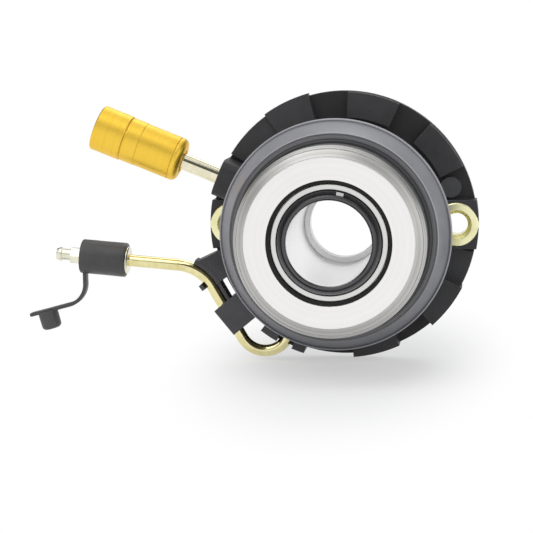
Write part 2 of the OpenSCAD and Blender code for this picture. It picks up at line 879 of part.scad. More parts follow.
module bleed_screw() {
  tip = 1.6;
  bore = 0.8;
  base = screw_seat + 0.2;
  hex_at = cap_sleeve_len + free_c;
  neck_at = hex_at + hex_len;
  head_at = neck_at + neck_len;
  color("#e4dfae") in_place() on_bleed_end() difference() {
    union() {
      rotate_extrude() polygon([
        [0, base],
        [screw_r - tip, base],
        [screw_r, base + tip],
        [screw_r, hex_at],
        [neck_r, hex_at],
        [neck_r, head_at],
        [head_r, head_at],
        [head_r - 0.2, head_at + head_len / 2],
        [neck_r, head_at + head_len],
        [0, head_at + head_len]
      ]);
      translate([0, 0, hex_at]) cylinder(r = bleed_hex / sqrt(3), h = hex_len, $fn = 6);
    }
    translate([0, 0, base + tip + 1]) cylinder(r = bore, h = head_at);
    translate([0, 0, base + tip + 1]) rotate([90, 0, 0])
      cylinder(r = bore, h = 3 * screw_r, center = true);
  }
}

// Rubber dust cap: sleeve, strap, cup and pull tab moulded as one
strap_t = 1.5;
strap_w = 4.5;
strap_turn = 75;
strap_at = cap_sleeve_len - 1.2;
strap_root = out_end + strap_at * dir(out_a) + [0, 0.6 - cap_sleeve_r];
strap_bend_c = strap_root + [-strap_bend, -strap_drop];
strap_run_start = strap_bend_c + strap_bend * dir(-strap_turn);
cup_r = 4.1;
cup_wall = 1.2;
cup_len = 7.8;
tab_len = 7.5;
cup_at = strap_run - tab_len;

module bleed_dust_cap() {
  edge = 0.8;
  lip = 1.1;
  dome = 1.6;
  color("#3a3938") in_place() union() {
    on_bleed_end() rotate_extrude() difference() {
      union() {
        square([cap_sleeve_r, cap_sleeve_len - edge]);
        translate([0, edge]) square([cap_sleeve_r - edge, cap_sleeve_len - edge]);
        translate([cap_sleeve_r - edge, cap_sleeve_len - edge]) circle(r = edge);
      }
      translate([-over, -over]) square([adaptor_r + seat_c + over, adaptor_len + over]);
      translate([-over, -over]) square([screw_r + lip + over, cap_sleeve_len + 2 * over]);
    }
    difference() {
      union() {
        translate([0, 0, port_z - strap_w / 2]) linear_extrude(strap_w) strap_outline();
        on_cup() cup(dome);
      }
      on_cup() translate([0, 0, -over]) cylinder(r = cup_r - cup_wall, h = cup_len - cup_wall + over);
    }
  }
}

// Strap seen from the front: a drop, a bend and a run to the pull tab
module strap_outline() {
  reach = 2 * strap_bend;
  flat = strap_t / 2;
  slim = flat - 0.05;
  lap = 0.3;
  translate([strap_root[0] - slim, strap_bend_c[1] - lap]) square([2 * slim, strap_drop + lap]);
  intersection() {
    translate(strap_bend_c) difference() {
      circle(r = strap_bend + flat);
      circle(r = strap_bend - flat);
    }
    translate(strap_bend_c)
      polygon([[0, 0], reach * dir(-strap_turn), reach * dir(-strap_turn / 2), [reach, 0]]);
  }
  translate(strap_run_start) rotate(-90 - strap_turn) translate([-lap, -slim])
    square([strap_run + lap, 2 * slim]);
}

// Puts a drawing on the cup's axis, with z down from the mouth
module on_cup() {
  translate([strap_run_start[0], strap_run_start[1], port_z]) rotate([0, 0, -90 - strap_turn])
    translate([cup_at, -strap_t / 2, 0]) rotate([-90, 0, 0]) children();
}

// Cup with a rounded closed end
module cup(dome) {
  rotate_extrude() union() {
    square([cup_r, cup_len - dome]);
    square([cup_r - dome, cup_len]);
    intersection() {
      translate([cup_r - dome, cup_len - dome]) circle(r = dome);
      square([cup_r, cup_len]);
    }
  }
}

// Piston, seal and carrier

spigot_in = sleeve_r + chamber_w * 0.4;
spigot_out = sleeve_r + chamber_w * 0.65;
spigot_h = 1.4;
wire_r = 0.6;
retainer_z = ball_z - 4;

module piston() {
  in_r = sleeve_r + run_c;
  color("#4a4a4c") in_place() rotate_extrude() difference() {
    union() {
      translate([in_r, piston_back]) square([chamber_w - 2 * run_c, carrier_back - piston_back]);
      translate([in_r, carrier_back - over]) square([nose_wall - run_c, nose_end - carrier_back + over]);
      translate([spigot_in, piston_back - spigot_h]) square([spigot_out - spigot_in, spigot_h + over]);
    }
    translate([nose_r, retainer_z]) circle(r = wire_r, $fn = 24);
  }
}

module piston_seal() {
  lip_c = run_c;
  in_r = sleeve_r + lip_c;
  out_r = bore_r - lip_c;
  lip = 1.5;
  taper = 0.4;
  color("#1f1f20") in_place() rotate_extrude() difference() {
    polygon([
      [in_r, seal_back],
      [in_r + lip, seal_back],
      [in_r + lip + taper, seal_back + seal_len * 0.45],
      [out_r - lip - taper, seal_back + seal_len * 0.45],
      [out_r - lip, seal_back],
      [out_r, seal_back],
      [out_r, piston_back],
      [in_r, piston_back]
    ]);
    translate([spigot_in - seat_c, piston_back - spigot_h - seat_c])
      square([spigot_out - spigot_in + 2 * seat_c, spigot_h + over]);
  }
}

module bearing_carrier() {
  skirt_h = 3.5;
  skirt_t = 2;
  skirt_in = spring_out_r + rim_gap;
  chamfer = 0.6;
  color("#333335") in_place() rotate_extrude() difference() {
    polygon([
      [nose_r + seat_c, carrier_back],
      [skirt_in, carrier_back],
      [skirt_in, carrier_back - skirt_h],
      [skirt_in + skirt_t, carrier_back - skirt_h],
      [skirt_in + skirt_t, carrier_back],
      [carrier_r, carrier_back],
      [carrier_r, carrier_front - chamfer],
      [carrier_r - chamfer, carrier_front],
      [nose_r + seat_c, carrier_front]
    ]);
    translate([carrier_r - boot_bead, carrier_bead_z - boot_bead_h / 2])
      square([boot_bead + over, boot_bead_h]);
  }
}

// Boot: a cuff on the carrier, a crest, a wide rim and folds back to a tail on the deck
module dust_boot() {
  half = boot_wall / 2;
  cuff_r = carrier_r + half + seat_c;
  rim_r = boot_r - half;
  tail_r = deck_r + half + seat_c;
  rim_z = carrier_back - boot_rim_back;
  tail_z = rim_top + 1;
  steps = (2 * boot_folds + 1) * 6;
  function mean(u) = rim_r - boot_fold + (tail_r - rim_r + 2 * boot_fold) * u;
  lip = [
    [cuff_r, carrier_front - 1],
    [cuff_r, carrier_front - 2],
    [cuff_r + 0.5, carrier_front - 2.8],
    [cuff_r + 1.5, carrier_front - 4.2],
    [rim_r - 2.4, rim_z + 4],
    [rim_r - 0.7, rim_z + 1.5]
  ];
  folds = [
    for (i = [0 : steps]) let (u = i / steps)
      [mean(u) + boot_fold * cos((boot_folds + 0.5) * 360 * u), rim_z + (tail_z - rim_z) * u]
  ];
  back = concat(folds, [[tail_r, tail_end]]);
  function skin(d) = concat(
    [for (i = [0 : len(lip) - 1]) lip[i] + side(lip, i) * d],
    [for (p = back) p + [d, 0]]
  );
  outer = skin(half);
  inner = skin(-half);
  color("#96959a") in_place() union() {
    rotate_extrude() polygon(concat(outer, [for (i = [len(inner) - 1 : -1 : 0]) inner[i]]));
    rotate_extrude() translate([cuff_r + boot_crest_out, carrier_front - boot_crest_back])
      circle(r = boot_crest);
    translate([0, 0, carrier_bead_z - boot_bead_h / 2])
      ring(carrier_r - boot_bead + seat_c, cuff_r + half, seat_c, boot_bead_h - seat_c);
    translate([0, 0, deck_bead_z - boot_bead_h / 2])
      ring(deck_r - boot_bead + seat_c, tail_r, seat_c, boot_bead_h - seat_c);
  }
}

module preload_spring() {
  color("#77787a") in_place()
    coil(spring_r, spring_wire / 2, deck_h + touch, carrier_back - touch, spring_turns, 8);
}

// Release bearing, angular contact, with the contact face on the turning outer race

groove_r = ball_r + 0.1;
shield_back = 2;
shield_t = 0.8;
shield_step = 0.3;
skirt_in = ball_circle_r + groove_r + 1;

module race_profile(points) {
  rotate_extrude() difference() {
    polygon(points);
    translate([ball_circle_r, ball_z]) circle(r = groove_r);
  }
}

module bearing_outer_race() {
  face_t = 2.8;
  shoulder = 2.2;
  skirt_end = carrier_front + shield_back;
  shield_seat = skirt_end + shield_t + seat_c;
  throat = max(ball_circle_r - 1.5, face_in_r + 0.6);
  line = 0.3;
  color("#d9d9d6") in_place() difference() {
    race_profile([
      [face_in_r, face_z],
      [face_out_r, face_z],
      [face_out_r + line, face_z - line],
      [face_out_r + shoulder, face_z - 1.7],
      [bearing_r - 1, face_z - 2.3],
      [bearing_r, face_z - 3.6],
      [bearing_r, skirt_end],
      [skirt_in + shield_step, skirt_end],
      [skirt_in + shield_step, shield_seat],
      [skirt_in, shield_seat],
      [skirt_in, ball_z - 2.4],
      [ball_circle_r + groove_r - 0.3, ball_z - 1.2],
      [ball_circle_r, ball_z],
      [ball_circle_r - 1.2, ball_z + groove_r - 0.2],
      [throat, face_z - face_t],
      [face_in_r, face_z - face_t]
    ]);
    ring(face_out_r - line, face_out_r, face_z - line, face_z + over);
    ring(bearing_r - 1.4, bearing_r - 1.1, face_z - 2.6, face_z);
  }
}

module bearing_inner_race() {
  lip_w = 1.8;
  in_r = nose_r + seat_c + 0.08;
  lip_end = face_z - 2;
  neck_z = ball_z + 1.5;
  color("#c9c9c6") in_place() difference() {
    race_profile([
      [in_r, carrier_front],
      [ball_circle_r + 0.6, carrier_front],
      [ball_circle_r + 0.6, ball_z - groove_r + 0.02],
      [ball_circle_r, ball_z],
      [ball_circle_r - groove_r + 0.05, ball_z + 0.6],
      [ball_circle_r - groove_r + 0.05, neck_z],
      [in_r + lip_w, neck_z],
      [in_r + lip_w, lip_end],
      [in_r, lip_end]
    ]);
    rotate_extrude() translate([nose_r, retainer_z]) circle(r = wire_r, $fn = 24);
  }
}

module bearing_retainer() {
  color("#6f6f6f") in_place() rotate_extrude(angle = 350)
    translate([nose_r, retainer_z]) circle(r = wire_r - 0.02, $fn = 24);
}

module bearing_front_seal() {
  lip = nose_r + 0.1 + 1.8 + free_c;
  color("#1b1b1b") in_place() rotate_extrude() polygon([
    [lip, face_z - 1.6],
    [face_in_r, face_z - 0.9],
    [face_in_r, face_z - 2.8],
    [lip, face_z - 2.6]
  ]);
}

module bearing_rear_shield() {
  back = carrier_front + shield_back;
  color("#a5a5a2") in_place()
    ring(ball_circle_r + 0.6 + free_c, skirt_in + shield_step - seat_c, back, back + shield_t);
}

// Cage: a thin cone across the line of contact, with a round pocket for each ball
module bearing_cage() {
  reach = ball_r - free_c;
  cage_t = 0.6;
  color("#b89a4a") in_place() difference() {
    rotate_extrude() polygon([
      [ball_circle_r - reach - cage_t, ball_z + reach - cage_t],
      [ball_circle_r + reach - cage_t, ball_z - reach - cage_t],
      [ball_circle_r + reach + cage_t, ball_z - reach + cage_t],
      [ball_circle_r - reach + cage_t, ball_z + reach + cage_t]
    ]);
    ball_set(ball_r + run_c);
  }
}

module ball_set(r) {
  for (i = [0 : ball_count - 1])
    rotate([0, 0, 360 * i / ball_count]) translate([ball_circle_r, 0, ball_z]) sphere(r = r);
}

module bearing_balls() {
  color("#e6e6e6") in_place() ball_set(ball_r);
}

housing();
guide_sleeve();
sleeve_oring();
left_bushing();
right_bushing();
supply_tube();
supply_tube_oring();
supply_roll_pin();
bleed_tube();
bleed_tube_oring();
bleed_roll_pin();
bleed_adaptor();
bleed_screw();
bleed_dust_cap();
coupling_body();
coupling_collar();
coupling_release_sleeve();
coupling_retaining_ring();
coupling_seal();
coupling_poppet();
coupling_spring();
piston_stop_ring();
preload_spring();
dust_boot();
piston();
piston_seal();
bearing_carrier();
bearing_inner_race();
bearing_retainer();
bearing_outer_race();
bearing_front_seal();
bearing_rear_shield();
bearing_cage();
bearing_balls();
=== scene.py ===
"""Looks of the concentric slave cylinder, in metres, in the frame of its solids."""
from math import cos, pi, radians, sin

import bpy
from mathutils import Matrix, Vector


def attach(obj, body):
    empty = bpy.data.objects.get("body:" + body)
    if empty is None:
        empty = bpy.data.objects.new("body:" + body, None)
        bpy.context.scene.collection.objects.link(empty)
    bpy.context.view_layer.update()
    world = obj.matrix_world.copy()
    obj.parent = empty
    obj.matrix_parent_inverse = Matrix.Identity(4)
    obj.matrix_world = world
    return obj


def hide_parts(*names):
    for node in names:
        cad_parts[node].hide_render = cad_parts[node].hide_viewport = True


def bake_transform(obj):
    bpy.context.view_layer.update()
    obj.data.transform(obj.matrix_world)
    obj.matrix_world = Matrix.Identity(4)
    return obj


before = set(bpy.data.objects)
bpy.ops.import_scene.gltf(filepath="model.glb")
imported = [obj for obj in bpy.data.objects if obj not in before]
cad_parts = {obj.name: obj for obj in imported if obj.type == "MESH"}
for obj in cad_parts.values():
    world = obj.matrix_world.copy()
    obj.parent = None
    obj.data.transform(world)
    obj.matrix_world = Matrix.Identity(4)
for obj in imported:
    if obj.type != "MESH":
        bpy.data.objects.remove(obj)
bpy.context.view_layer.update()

MM = 0.001
AXIS = Vector((0, -1, 0))
SIDE = Vector((1, 0, 0))


def at(x, y, z):
    """A point in millimetres right of the bore, above it and in front of the bolt face."""
    return Vector((x, -z, y)) * MM


def heading(angle):
    """A direction in the plane of the flange, in degrees from the right."""
    return Vector((cos(radians(angle)), 0, sin(radians(angle))))


def line_frame(angle, foot):
    """Location and rotation that bring a line's own axis onto Y, for patterns round that line."""
    turn = radians(angle)
    along = foot.x * cos(turn) + foot.z * sin(turn)
    across = foot.z * cos(turn) - foot.x * sin(turn)
    return (foot.y, -along, -across), (0, turn, pi / 2)


# Places of the two lines, in millimetres and degrees
PORT_Z = 14.0
SUPPLY_A = 158.0
BLEED_OUT_A = 175.0
SUPPLY_FOOT = at(0, 0, PORT_Z)
BLEED_END = at(-88.441, -14.384, PORT_Z)
SUPPLY_FRAME = line_frame(SUPPLY_A, SUPPLY_FOOT)
BLEED_FRAME = line_frame(BLEED_OUT_A, BLEED_END)


# Camera of the photograph
CAMERA_LENS = 119.193
CAMERA_SENSOR = 36
CAMERA_REACH = 20
CAMERA_PLACE = (0.062743, -0.715771, 0.081588)
CAMERA_TURN = (82.09424, 0.72430, 7.50217)


def photo_camera():
    data = bpy.data.cameras.new("photo_camera")
    data.lens = CAMERA_LENS
    data.sensor_width = CAMERA_SENSOR
    data.clip_end = CAMERA_REACH
    camera = bpy.data.objects.new("photo_camera", data)
    camera.location = CAMERA_PLACE
    camera.rotation_euler = [radians(turn) for turn in CAMERA_TURN]
    bpy.context.scene.collection.objects.link(camera)
    bpy.context.scene.camera = camera


photo_camera()
bpy.context.scene.view_settings.view_transform = "Standard"


# Helpers for nodes

def feed(tree, socket, source):
    """Join a socket to the output of another node, or set its value."""
    if hasattr(source, "is_output"):
        tree.links.new(source, socket)
    else:
        socket.default_value = source


def add(tree, kind, links=(), **settings):
    """A node with its settings, with its inputs joined or set."""
    node = tree.nodes.new(kind)
    for key, value in settings.items():
        setattr(node, key, value)
    for label, source in links:
        feed(tree, node.inputs[label], source)
    return node


def calc(tree, operation, *terms, clamp=False):
    """The result of an operation on its terms."""
    links = enumerate(terms)
    return add(tree, "ShaderNodeMath", links, operation=operation, use_clamp=clamp).outputs[0]


def times(tree, a, b):
    return calc(tree, "MULTIPLY", a, b)


def dot(tree, a, b):
    links = [(0, a), (1, b)]
    return add(tree, "ShaderNodeVectorMath", links, operation="DOT_PRODUCT").outputs["Value"]


def ramp(tree, value, low, high):
    """0 at low, 1 at high, smooth between."""
    links = [("Value", value), ("From Min", low), ("From Max", high)]
    return add(tree, "ShaderNodeMapRange", links, interpolation_type="SMOOTHSTEP").outputs[0]


def noise(tree, place, scale, **settings):
    links = [("Vector", place), ("Scale", scale), *settings.items()]
    return add(tree, "ShaderNodeTexNoise", links).outputs[0]


def parts(tree, place):
    """The x, y and z of a place."""
    return add(tree, "ShaderNodeSeparateXYZ", [(0, place)]).outputs


def blend_colour(tree, factor, a, b):
    """Colour a where the factor is 0 and colour b where it is 1."""
    factor_socket, a_socket, b_socket, colour_socket = 0, 6, 7, 2
    links = [(factor_socket, factor), (a_socket, a), (b_socket, b)]
    return add(tree, "ShaderNodeMix", links, data_type="RGBA").outputs[colour_socket]


def laid_over(tree, base, mask, colour, strength=1.0):
    """The base with a plain colour laid over it under a mask."""
    return blend_colour(tree, times(tree, mask, strength), base, (*colour, 1))


def tones(tree, value, *stops):
    """Colours spread over a value, each at its own place."""
    node = add(tree, "ShaderNodeValToRGB", [(0, value)])
    points = node.color_ramp.elements
    while len(points) < len(stops):
        points.new(0.5)
    for point, (place, colour) in zip(points, stops):
        point.position = place
        point.color = (*colour, 1)
    return node.outputs[0]


def uneven(tree, mask, least, more):
    """Roughness that rises by so much more under a mask."""
    return calc(tree, "MULTIPLY_ADD", mask, more, least)


def bump(tree, height, strength, distance, normal=None):
    links = [("Height", height), ("Strength", strength), ("Distance", distance)]
    if normal is not None:
        links.append(("Normal", normal))
    return add(tree, "ShaderNodeBump", links).outputs[0]


def turned_onto(tree, place, line):
    """Coordinates centred on a line, with the line along Y."""
    location, rotation = line
    links = [("Vector", place), ("Location", location), ("Rotation", rotation)]
    return add(tree, "ShaderNodeMapping", links).outputs[0]


# Shared effects, as node groups

NUMBER = "NodeSocketFloat"
VECTOR = "NodeSocketVector"


def effect(name, inputs, outputs):
    """A new node group, with its inputs and the sockets of its outputs."""
    tree = bpy.data.node_groups.new(name, "ShaderNodeTree")
    for label, kind, value in inputs:
        socket = tree.interface.new_socket(name=label, in_out="INPUT", socket_type=kind)
        if value is not None:
            socket.default_value = value
    for label, kind in outputs:
        tree.interface.new_socket(name=label, in_out="OUTPUT", socket_type=kind)
    given = tree.nodes.new("NodeGroupInput").outputs
    return tree, given, tree.nodes.new("NodeGroupOutput").inputs


def moulded_skin_effect():
    """Fine spark-eroded grain and slow cloudiness of a moulded part."""
    tree, given, out = effect(
        "moulded skin",
        [("Vector", VECTOR, None), ("Grain", NUMBER, 2500.0), ("Cloud", NUMBER, 60.0)],
        [("Height", NUMBER), ("Tone", NUMBER)],
    )
    grain_share = 0.35
    grain = noise(tree, given["Vector"], given["Grain"], Detail=3.0)
    cloud = noise(tree, given["Vector"], given["Cloud"], Detail=4.0)
    tone = calc(tree, "MULTIPLY_ADD", grain, grain_share, times(tree, cloud, 1 - grain_share))
    feed(tree, out["Height"], grain)
    feed(tree, out["Tone"], tone)
    return tree


def turned_lines_effect():
    """Tool lines of turning round the Y axis, with radius and depth in millimetres."""
    tree, given, out = effect(
        "turned lines",
        [("Vector", VECTOR, None), ("Lines", NUMBER, 4000.0)],
        [("Height", NUMBER), ("Tone", NUMBER), ("Radius", NUMBER), ("Depth", NUMBER)],
    )
    broad_lines = 0.22
    fine_share = 0.5
    x, y, z = parts(tree, given["Vector"])
    radius = calc(tree, "SQRT", calc(tree, "ADD", times(tree, x, x), times(tree, z, z)))
    place = add(tree, "ShaderNodeCombineXYZ", [(0, radius), (1, y)]).outputs[0]
    fine = noise(tree, place, given["Lines"], Detail=2.0)
    broad = noise(tree, place, times(tree, given["Lines"], broad_lines), Detail=1.0)
    tone = calc(tree, "MULTIPLY_ADD", fine, fine_share, times(tree, broad, 1 - fine_share))
    feed(tree, out["Height"], fine)
    feed(tree, out["Tone"], tone)
    feed(tree, out["Radius"], times(tree, radius, 1000.0))
    feed(tree, out["Depth"], times(tree, y, -1000.0))
    return tree


def soft_edge_effect():
    """Rounded edges on exact solids, as a normal and a mask of the edges."""
    tree, given, out = effect(
        "soft edge",
        [("Radius", NUMBER, 0.0004)],
        [("Normal", VECTOR), ("Edge", NUMBER)],
    )
    edge_bend = (0.015, 0.16)
    rounded = add(tree, "ShaderNodeBevel", [("Radius", given["Radius"])], samples=6).outputs[0]
    flat = add(tree, "ShaderNodeNewGeometry").outputs["Normal"]
    bend = calc(tree, "SUBTRACT", 1.0, dot(tree, rounded, flat))
    feed(tree, out["Normal"], rounded)
    feed(tree, out["Edge"], ramp(tree, bend, *edge_bend))
    return tree


def handling_effect():
    """Broad patches where a surface was touched or cleaned."""
    tree, given, out = effect(
        "handling patches",
        [("Vector", VECTOR, None), ("Size", NUMBER, 90.0)],
        [("Mask", NUMBER)],
    )
    patch_level = (0.4, 0.66)
    patch = noise(tree, given["Vector"], given["Size"], Detail=5.0, Roughness=0.6)
    feed(tree, out["Mask"], ramp(tree, patch, *patch_level))
    return tree


MOULDED = moulded_skin_effect()
TURNED = turned_lines_effect()
SOFT_EDGE = soft_edge_effect()
HANDLED = handling_effect()


def use(tree, group, **inputs):
    """The outputs of a shared effect in a material."""
    return add(tree, "ShaderNodeGroup", inputs.items(), node_tree=group).outputs


# Where the looks of a piece change, from none to full, in millimetres:
# _R is a radius round the bore axis and _Z a depth in front of the bolt face
HOUSING_SHADED_POCKET_Z = (7.4, 5.2)
PLUG_FACE_Z = (6.0, 7.0)
PIPE_CLIP_Z = (14.5, 16.5)
RACE_SHOULDER_R = (31.95, 32.25)
RACE_SKIRT_Z = (68.3, 67.6)
BOOT_FRONT_Z = (50.0, 51.5)
BOOT_INSIDE_R = (39.7, 39.45)
BOOT_CREST_R = (39.45, 39.65)
BOOT_CREST_Z = (53.75, 54.05)
BOOT_LIP_R = (44.2, 44.35)
BOOT_LIP_Z = (45.0, 45.3)
SLEEVE_BACK_Z = (24.0, 3.0)
SLEEVE_FLANGE_R = (16.2, 17.2)
SLEEVE_OUTSIDE_R = (16.04, 16.12)
SLEEVE_FRONT_Z = (60.0, 62.0)
SLEEVE_NIB_R = (18.02, 18.06)

# The same by height or along a direction across the bore, in metres
# Height where painted shade comes over the boot's lower side
BOOT_SHADED_HEIGHT = (0.02, -0.045)
# Height where painted light comes over the stop ring's lower half
RING_LIT_HEIGHT = (0.010, -0.014)
LOWER_LEFT, PIPE_CLIP_REACH = (-0.6, 0, -0.8), (0.040, 0.052)
# Direction and reach of the painted highlight on the boot's crest
UPPER_RIGHT, BOOT_CREST_HIGHLIGHT_REACH = (0.5, 0, 0.87), (-0.004, 0.02)

# Plug disc on the flange, in metres, and hollow band of the boot with its painted shade, in millimetres
PLUG_X, PLUG_HEIGHT, PLUG_EDGE = 0.0430, 0.0148, (0.0042, 0.00378)
BAND_R, BAND_WIDTH = 37.5, 2.1


# Finishes

def finish(name, metallic=0.0, specular=0.5):
    """A new material with its shader and the object's own coordinates."""
    made = bpy.data.materials.new(name)
    made.use_nodes = True
    tree = made.node_tree
    shader = next(n for n in tree.nodes if n.type == "BSDF_PRINCIPLED")
    shader.inputs["Metallic"].default_value = metallic
    shader.inputs["Specular IOR Level"].default_value = specular
    place = add(tree, "ShaderNodeTexCoord").outputs["Object"]
    return made, tree, shader, place


def dress(tree, shader, colour, roughness, normal):
    """Colour, roughness and normal of a finish, joined to its shader."""
    feed(tree, shader.inputs["Base Color"], colour)
    feed(tree, shader.inputs["Roughness"], roughness)
    feed(tree, shader.inputs["Normal"], normal)


def housing_nylon():
    """Housing: grainy nylon, pale edges, painted shade in the low places, a dull plug disc, pipe clips paler
    from rubbing.
    """
    made, tree, shader, place = finish("housing nylon", specular=0.4)
    skin = use(tree, MOULDED, Vector=place, Grain=2600.0, Cloud=70.0)
    rim = use(tree, SOFT_EDGE, Radius=0.00035)
    patch = use(tree, HANDLED, Vector=place, Size=75.0)
    depth = use(tree, TURNED, Vector=place, Lines=900.0)["Depth"]
    x, _, height = parts(tree, place)
    # Painted shade: the pockets below the pads are darkened where shade falls in them.
    low = ramp(tree, depth, *HOUSING_SHADED_POCKET_Z)
    aside = calc(tree, "POWER", calc(tree, "SUBTRACT", x, PLUG_X), 2.0)
    above = calc(tree, "POWER", calc(tree, "SUBTRACT", height, PLUG_HEIGHT), 2.0)
    away = calc(tree, "SQRT", calc(tree, "ADD", aside, above))
    plug = times(tree, ramp(tree, away, *PLUG_EDGE), ramp(tree, depth, *PLUG_FACE_Z))
    lower_left = ramp(tree, dot(tree, place, LOWER_LEFT), *PIPE_CLIP_REACH)
    clips = times(tree, lower_left, ramp(tree, depth, *PIPE_CLIP_Z))
    base = tones(tree, skin["Tone"], (0.36, (0.029, 0.029, 0.031)), (0.64, (0.049, 0.049, 0.052)))
    base = laid_over(tree, base, low, (0.009, 0.009, 0.0095), strength=0.75)
    base = laid_over(tree, base, plug, (0.07, 0.07, 0.075), strength=0.7)
    base = laid_over(tree, base, clips, (0.095, 0.094, 0.1), strength=0.75)
    base = laid_over(tree, base, rim["Edge"], (0.16, 0.16, 0.165), strength=0.6)
    rough = uneven(tree, patch["Mask"], least=0.46, more=0.1)
    normal = bump(tree, skin["Height"], strength=0.16, distance=0.00012, normal=rim["Normal"])
    dress(tree, shader, base, rough, normal)
    return made


def moulded_nylon(name, dark, light, worn):
    """Glass filled nylon: grainy, cloudy, with paler moulded edges."""
    made, tree, shader, place = finish(name, specular=0.42)
    skin = use(tree, MOULDED, Vector=place, Grain=2600.0, Cloud=70.0)
    rim = use(tree, SOFT_EDGE, Radius=0.0004)
    patch = use(tree, HANDLED, Vector=place, Size=75.0)
    base = tones(tree, skin["Tone"], (0.36, dark), (0.64, light))
    base = laid_over(tree, base, rim["Edge"], worn, strength=0.75)
    rough = uneven(tree, patch["Mask"], least=0.48, more=0.1)
    normal = bump(tree, skin["Height"], strength=0.18, distance=0.00012, normal=rim["Normal"])
    dress(tree, shader, base, rough, normal)
    return made


def turned_steel(name, dark, light, rough, lines=4200.0, relief=0.1, line=None):
    """Turned or ground metal, with tool lines round the bore or round a line of its own."""
    made, tree, shader, place = finish(name, metallic=1.0)
    if line:
        place = turned_onto(tree, place, line)
    tool = use(tree, TURNED, Vector=place, Lines=lines)
    rim = use(tree, SOFT_EDGE, Radius=0.00022)
    patch = use(tree, HANDLED, Vector=place, Size=60.0)
    base = tones(tree, tool["Tone"], (0.34, dark), (0.66, light))
    rough = uneven(tree, patch["Mask"], least=rough, more=0.08)
    normal = bump(tree, tool["Height"], strength=relief, distance=0.00006, normal=rim["Normal"])
    dress(tree, shader, base, rough, normal)
    return made


def bearing_race_steel():
    """Outer race: smooth pale contact face, darker ringed shoulder, painted shade on the skirt behind the
    edge.
    """
    made, tree, shader, place = finish("bearing race steel", metallic=1.0)
    fine = use(tree, TURNED, Vector=place, Lines=4200.0)
    ringed = use(tree, TURNED, Vector=place, Lines=1500.0)
    rim = use(tree, SOFT_EDGE, Radius=0.0002)
    patch = use(tree, HANDLED, Vector=place, Size=60.0)
    face = tones(tree, fine["Tone"], (0.3, (0.86, 0.845, 0.84)), (0.7, (0.93, 0.92, 0.915)))
    shoulder = tones(
        tree, ringed["Tone"],
        (0.36, (0.45, 0.445, 0.43)), (0.52, (0.58, 0.575, 0.56)), (0.66, (0.72, 0.715, 0.70)),
    )
    outside = ramp(tree, fine["Radius"], *RACE_SHOULDER_R)
    # Painted shade: the skirt behind the front edge is coloured dark, in place of the dark carrier and boot
    # that it mirrors.
    behind = ramp(tree, fine["Depth"], *RACE_SKIRT_Z)
    base = blend_colour(tree, outside, face, shoulder)
    base = laid_over(tree, base, behind, (0.14, 0.14, 0.144))
    rough = uneven(tree, patch["Mask"], least=0.28, more=0.05)
    rough = uneven(tree, outside, least=rough, more=0.16)
    normal = bump(tree, fine["Height"], strength=0.04, distance=0.00005, normal=rim["Normal"])
    dress(tree, shader, base, rough, normal)
    return made


def plated_zinc(name, dark, light, rough, line=None):
    """Yellow passivated zinc: slightly cloudy colour on a drawn or turned part."""
    made, tree, shader, place = finish(name, metallic=1.0)
    if line:
        place = turned_onto(tree, place, line)
    tool = use(tree, TURNED, Vector=place, Lines=3000.0)
    patch = use(tree, HANDLED, Vector=place, Size=110.0)
    rim = use(tree, SOFT_EDGE, Radius=0.00025)
    patch_share = 0.5
    cloud = calc(tree, "MULTIPLY_ADD", patch["Mask"], patch_share, times(tree, tool["Tone"], 1 - patch_share))
    base = tones(tree, cloud, (0.15, light), (0.85, dark))
    rough = uneven(tree, patch["Mask"], least=rough, more=0.06)
    normal = bump(tree, tool["Height"], strength=0.03, distance=0.00004, normal=rim["Normal"])
    dress(tree, shader, base, rough, normal)
    return made


def gold_anodised():
    """Gold anodised aluminium with faint turning lines round the coupling's own axis."""
    made, tree, shader, place = finish("gold anodised aluminium", metallic=1.0)
    place = turned_onto(tree, place, SUPPLY_FRAME)
    tool = use(tree, TURNED, Vector=place, Lines=2600.0)
    patch = use(tree, HANDLED, Vector=place, Size=45.0)
    rim = use(tree, SOFT_EDGE, Radius=0.0003)
    base = tones(tree, tool["Tone"], (0.3, (0.94, 0.59, 0.06)), (0.7, (0.985, 0.69, 0.10)))
    base = laid_over(tree, base, rim["Edge"], (0.99, 0.83, 0.28), strength=0.45)
    rough = uneven(tree, patch["Mask"], least=0.42, more=0.05)
    normal = bump(tree, tool["Height"], strength=0.03, distance=0.00005, normal=rim["Normal"])
    dress(tree, shader, base, rough, normal)
    return made


def soft_rubber(name, dark, light, rough):
    """Black rubber with a dull bloom."""
    made, tree, shader, place = finish(name, specular=0.3)
    skin = use(tree, MOULDED, Vector=place, Grain=3200.0, Cloud=110.0)
    patch = use(tree, HANDLED, Vector=place, Size=120.0)
    base = tones(tree, skin["Tone"], (0.35, dark), (0.65, light))
    rough = uneven(tree, patch["Mask"], least=rough, more=0.12)
    dress(tree, shader, base, rough, bump(tree, skin["Height"], strength=0.12, distance=0.0001))
    return made


